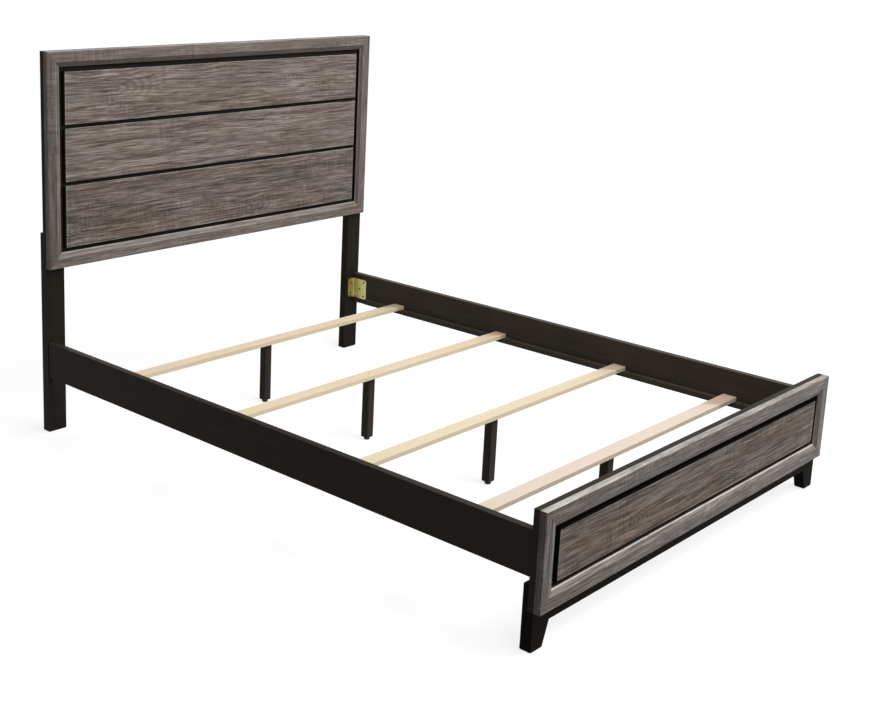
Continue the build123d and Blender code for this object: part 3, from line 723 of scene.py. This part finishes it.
HEAD, HEAD_RISE, HEAD_BELOW, CROSS_DEPTH = 0.0042, 0.0005, 0.0012, 0.0011
flat_head = pan(HEAD, HEAD_RISE, 0.0, HEAD_BELOW)
print("head profile:", flat_head.round(5).tolist()[-2:])

# %% [markdown]
# ## Where the screws sit
#
# Every screw stands where the CAD put it, so the places are read from the CAD boxes: a row of heads reaches half
# a head beyond its outermost screws. The patterns on the brackets, along the ledgers and beside the slats can't
# be read from a box, so they are written as numbers.

# %% Seats of posts, legs and ledgers
LEDGER_SHARES = (0.03, 0.27, 0.51, 0.74, 0.97)
sides = (-1, 1)


def inset(name, axis, by=HEAD):
    """The lowest and highest middle of a row of round heads along one axis."""
    low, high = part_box(name)
    return low[axis] + by, high[axis] - by


post_middle = sum(corner[0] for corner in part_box("headboard_right_post")) / 2
pair = inset("headboard_post_screws", 0)[1] - post_middle
columns = [side * (post_middle + way * pair) for side in sides for way in sides]
ledger_face, ledger_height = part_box("right_slat_ledger")[0][0], inset("ledger_screws", 2)[0]
ledger_y = np.interp(LEDGER_SHARES, (0, 1), [corner[1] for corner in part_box("right_slat_ledger")])
post_back, leg_back = cad_box[1][1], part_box("footboard_left_leg")[1][1]
seats = {
    name: [((x, back, z), (0, 1, 0)) for x in columns for z in inset(name, 2)]
    for name, back in (("headboard_post_screws", post_back), ("footboard_leg_screws", leg_back))}
seats["ledger_screws"] = [
    ((side * ledger_face, y, ledger_height), (-side, 0, 0)) for side in sides for y in ledger_y]
print({name: len(places) for name, places in seats.items()})

# %% Seats of brackets and slats
rail_low, rail_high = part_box("right_side_rail")
rail_ends = ((rail_low[1], 1), (rail_high[1], -1))
rail_middle = (rail_low[2] + rail_high[2]) / 2
BRACKET, RAIL_WING = 0.003, ((0.062, 0.031), (0.062, -0.031), (0.039, 0))
POST_WING, POST_WING_X = (0.022, -0.022), 0.754
STOP_HEAD, STOP_RISE, STOP_STAND, STOP_AHEAD = 0.004, 0.0024, 0.0055, 0.054
stop_x, ledger_top = inset("slat_stop_screws", 0, STOP_HEAD)[1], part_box("right_slat_ledger")[1][2]
seats["bracket_screws"] = [
    *(((side * (rail_low[0] - BRACKET), end + way * along, rail_middle + up), (-side, 0, 0))
      for side in sides for end, way in rail_ends for along, up in RAIL_WING),
    *(((side * POST_WING_X, end + way * BRACKET, rail_middle + up), (0, way, 0))
      for side in sides for end, way in rail_ends for up in POST_WING)]
seats["support_leg_screws"] = [((0, y, slat_top), (0, 0, 1)) for y in slat_y]
seats["slat_stop_screws"] = [
    ((side * stop_x, y - STOP_AHEAD, ledger_top), (0, 0, 1)) for side in sides for y in slat_y]
print({name: len(places) for name, places in seats.items()})

# %% Turn the screws
stop_shank = [(0.0022, STOP_STAND, 0), (0.002, 0.0045, 0), (0.002, -0.004, 0)]
round_head = np.r_[pan(STOP_HEAD, STOP_RISE, STOP_STAND, 0.0), stop_shank]
for name, places in seats.items():
    profile = round_head if name == "slat_stop_screws" else flat_head
    finish = steel if name == "support_leg_screws" else oxide
    turned(name + "_turned", profile, places, finish, [name], cross=CROSS_DEPTH)

# %% Turn the glides
STEM_RADIUS, STEM_FOOT, STEM_END, STEM_ROW = 0.004, 0.0085, 0.0385, 0.0003
THREAD_DEPTH, THREAD_PITCH = 0.0004, 0.00125
stem_tip = [(0.0034, 0.0388, 0.0), (0.0005, 0.0390, 0.0)]
pad = np.array([(0.0005, 0.0), (0.0085, 0.0), (0.0100, 0.0004), (0.0108, 0.0014), (0.0110, 0.0028),
                (0.0108, 0.0046), (0.0102, 0.0060), (0.0090, 0.0072), (0.0076, 0.0079), (0.0041, 0.0080)])
climb = np.arange(STEM_FOOT, STEM_END, STEM_ROW)
stem = np.c_[np.full(len(climb), STEM_RADIUS), climb, np.full(len(climb), THREAD_DEPTH)]
glide = np.r_[np.c_[pad, np.zeros(len(pad))], stem, stem_tip][::-1]
for i, y in enumerate(slat_y, 1):
    turned(f"leveller_{i}_turned", glide, [((0, y, 0), (0, 0, 1))], plastic,
           [f"leveller_{i}"], body=f"glide_{i}", pitch=THREAD_PITCH)

# %% [markdown]
# ## The studio
#
# A product is shot on white paper that runs out to a white wall. More light would whiten them too, but it would
# burn out the slats. So camera, glossy and see-through rays meet paper and world near one, while the rays that
# light the bed meet dimmer ones. Two soft suns and a softbox over the foot end then shape it: tops are bright,
# fronts are calmer, and the bevels differ from side to side.


# %% Rays that see white
def seen_by(start):
    """One for camera, glossy and transmission rays, nought for the rays that light the bed."""
    camera_ray = start.node("LightPath", get="Is Camera Ray")
    glossy, clear = camera_ray.twin("Is Glossy Ray"), camera_ray.twin("Is Transmission Ray")
    return camera_ray.calc("MAXIMUM", glossy).calc("MAXIMUM", clear)


# %% Paper floor
HALF_FLOOR, FLOOR_Z, PAPER_GLOW, PAPER_DIM = 60.0, -0.0005, 0.77, (0.30, 0.30, 0.30)
sheet = np.c_[np.array([(-1, -1), (1, -1), (1, 1), (-1, 1)]) * HALF_FLOOR, np.full(4, FLOOR_Z)]
floor = bpy.data.objects.new("floor", bpy.data.meshes.new("floor"))
floor.data.from_pydata(sheet.tolist(), [], [(0, 1, 2, 3)])
bpy.context.scene.collection.objects.link(floor)
paper, paper_shader, at = new_material("studio_paper", Specular_IOR_Level=0.0, Roughness=0.9)
seen = seen_by(at)
fibres = walk(noise(at, 30.0), (0.3, (0.335, 0.335, 0.335)), (0.7, (0.342, 0.342, 0.342)))
wire(paper_shader, Base_Color=mix(seen, PAPER_DIM, fibres))
glow = seen.node("Emission", {"Color": (1, 1, 1, 1), "Strength": seen * PAPER_GLOW})
both = seen.node("AddShader", {0: Sock(paper_shader.outputs[0]), 1: glow})
paper.node_tree.links.new(both.out, paper.node_tree.nodes["Material Output"].inputs["Surface"])
floor.data.materials.append(paper)

# %% World
SKY_LIGHTS, SKY_SHOWS = 0.26, 1.0
world = bpy.data.worlds.new("studio_world")
bpy.context.scene.world = world
world.use_nodes = True
sky = world.node_tree.nodes["Background"]
sky.inputs["Color"].default_value = (1, 1, 1, 1)
strength = seen_by(Sock(sky.outputs[0])) * (SKY_SHOWS - SKY_LIGHTS) + SKY_LIGHTS
world.node_tree.links.new(strength.out, sky.inputs["Strength"])
print("world lights at", SKY_LIGHTS, "and shows at", SKY_SHOWS)


# %% Lamps
def lamp(name, kind, energy, position, towards=(0, 0, 0), **settings):
    """A lamp that shines from a position towards a point."""
    light = bpy.data.objects.new(name, bpy.data.lights.new(name, kind))
    light.data.energy, light.location = energy, position
    for key, value in settings.items():
        setattr(light.data, key, value)
    light.rotation_euler = (Vector(position) - Vector(towards)).to_track_quat("Z", "Y").to_euler()
    bpy.context.scene.collection.objects.link(light)
    print(kind.lower(), name, "at", position)


lamp("overhead", "SUN", 1.2, (0.10, -0.40, 0.91), angle=math.radians(40))
lamp("window", "SUN", 0.9, (0.80, -0.34, 0.50), angle=math.radians(30))
lamp("softbox", "AREA", 39.0, (0.3, -1.5, 2.7), (0.0, 0.4, 0.4), size=1.6)

# %% [markdown]
# ## The camera
#
# The photograph was taken from the left of the foot end, from about the height of a standing person's head. Its
# place was fitted to the corners of the bed, which is surer than turning a camera by eye. The lens is shifted a
# little, as on a view camera. The photograph asks for more shift, but then views from other sides lose the bed.

# %% Camera
WIDTH, HEIGHT, SENSOR, CLIP_END = 870.0, 704.0, 36.0, 300.0
FOCAL, CENTRE_X, CENTRE_Y = 1361.815, 330.6, 247.6
EYE = (-3.4375, -2.8011, 1.76602)
yaw, pitch, roll = (math.radians(a) for a in (46.6342, 13.1209, 1.8102))
ahead = np.array([math.sin(yaw) * math.cos(pitch), math.cos(yaw) * math.cos(pitch), -math.sin(pitch)])
level = np.array([math.cos(yaw), -math.sin(yaw), 0.0])
upright = np.cross(level, ahead)
right = level * math.cos(roll) + upright * math.sin(roll)
up = upright * math.cos(roll) - level * math.sin(roll)
camera = bpy.data.objects.new("camera", bpy.data.cameras.new("camera"))
camera.matrix_world = Matrix(np.vstack([np.c_[right, up, -ahead, EYE], (0, 0, 0, 1)]).tolist())
camera.data.sensor_width, camera.data.lens = SENSOR, FOCAL / WIDTH * SENSOR
camera.data.shift_x, camera.data.shift_y = (WIDTH / 2 - CENTRE_X) / WIDTH, (CENTRE_Y - HEIGHT / 2) / WIDTH
camera.data.clip_end = CLIP_END
bpy.context.scene.collection.objects.link(camera)
bpy.context.scene.camera = camera
bpy.context.scene.view_settings.view_transform = "Standard"
print(f"lens {camera.data.lens:.1f} mm, shift {camera.data.shift_x:.2f} {camera.data.shift_y:.2f}")
